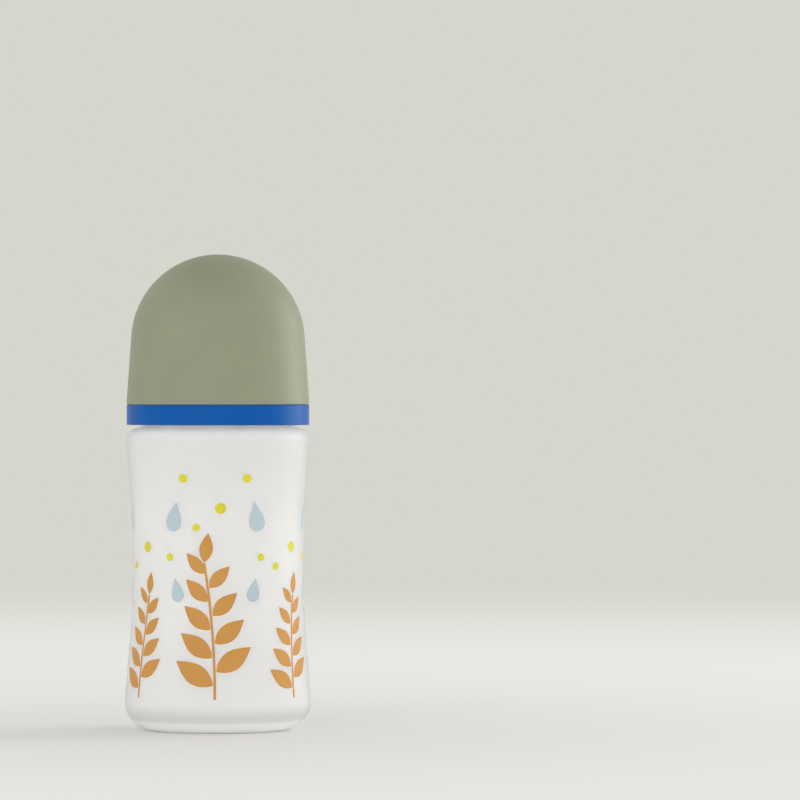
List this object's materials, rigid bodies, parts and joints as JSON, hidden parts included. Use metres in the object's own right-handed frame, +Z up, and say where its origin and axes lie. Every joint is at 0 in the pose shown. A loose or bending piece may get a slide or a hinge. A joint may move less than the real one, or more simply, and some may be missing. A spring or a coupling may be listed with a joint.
{
  "type": "baby bottle",
  "caption": "Wide-neck feeding bottle with a waisted translucent body, a screw cap that holds a silicone teat, and a pull-off domed hood.",
  "frame": {"origin": "middle of the base, on the surface that the bottle stands on", "axes": "+Z up along the bottle's axis, -Y towards the viewer of the picture, +X to the viewer's right"},
  "size_m": [0.0694, 0.0694, 0.177],
  "materials": {
    "bottle_plastic": "translucent, milky",
    "cap_plastic": "satin",
    "silicone": "satin, clear",
    "hood_plastic": "satin"
  },
  "bodies": {
    "bottle": {"bottle": "bottle_plastic"},
    "teat": {"teat": "silicone"},
    "cap": {"cap": "cap_plastic"},
    "hood": {"hood": "hood_plastic"}
  },
  "joints": [
    {"name": "cap_rise", "type": "slide", "parent": "bottle", "child": "teat", "axis": [0, 0, 1], "range_m": [0, 0.00626]},
    {"name": "cap_turn", "type": "hinge", "parent": "teat", "child": "cap", "pos_m": [0, 0, 0.12], "axis": [0, 0, 1], "range_deg": [0, 450]},
    {"name": "hood_pull", "type": "slide", "parent": "cap", "child": "hood", "axis": [0, 0, 1], "range_m": [0, 0.06]}
  ],
  "couplings": [
    {"joint": "cap_rise", "follows": "cap_turn", "m_per_rad": 0.00079577}
  ]
}
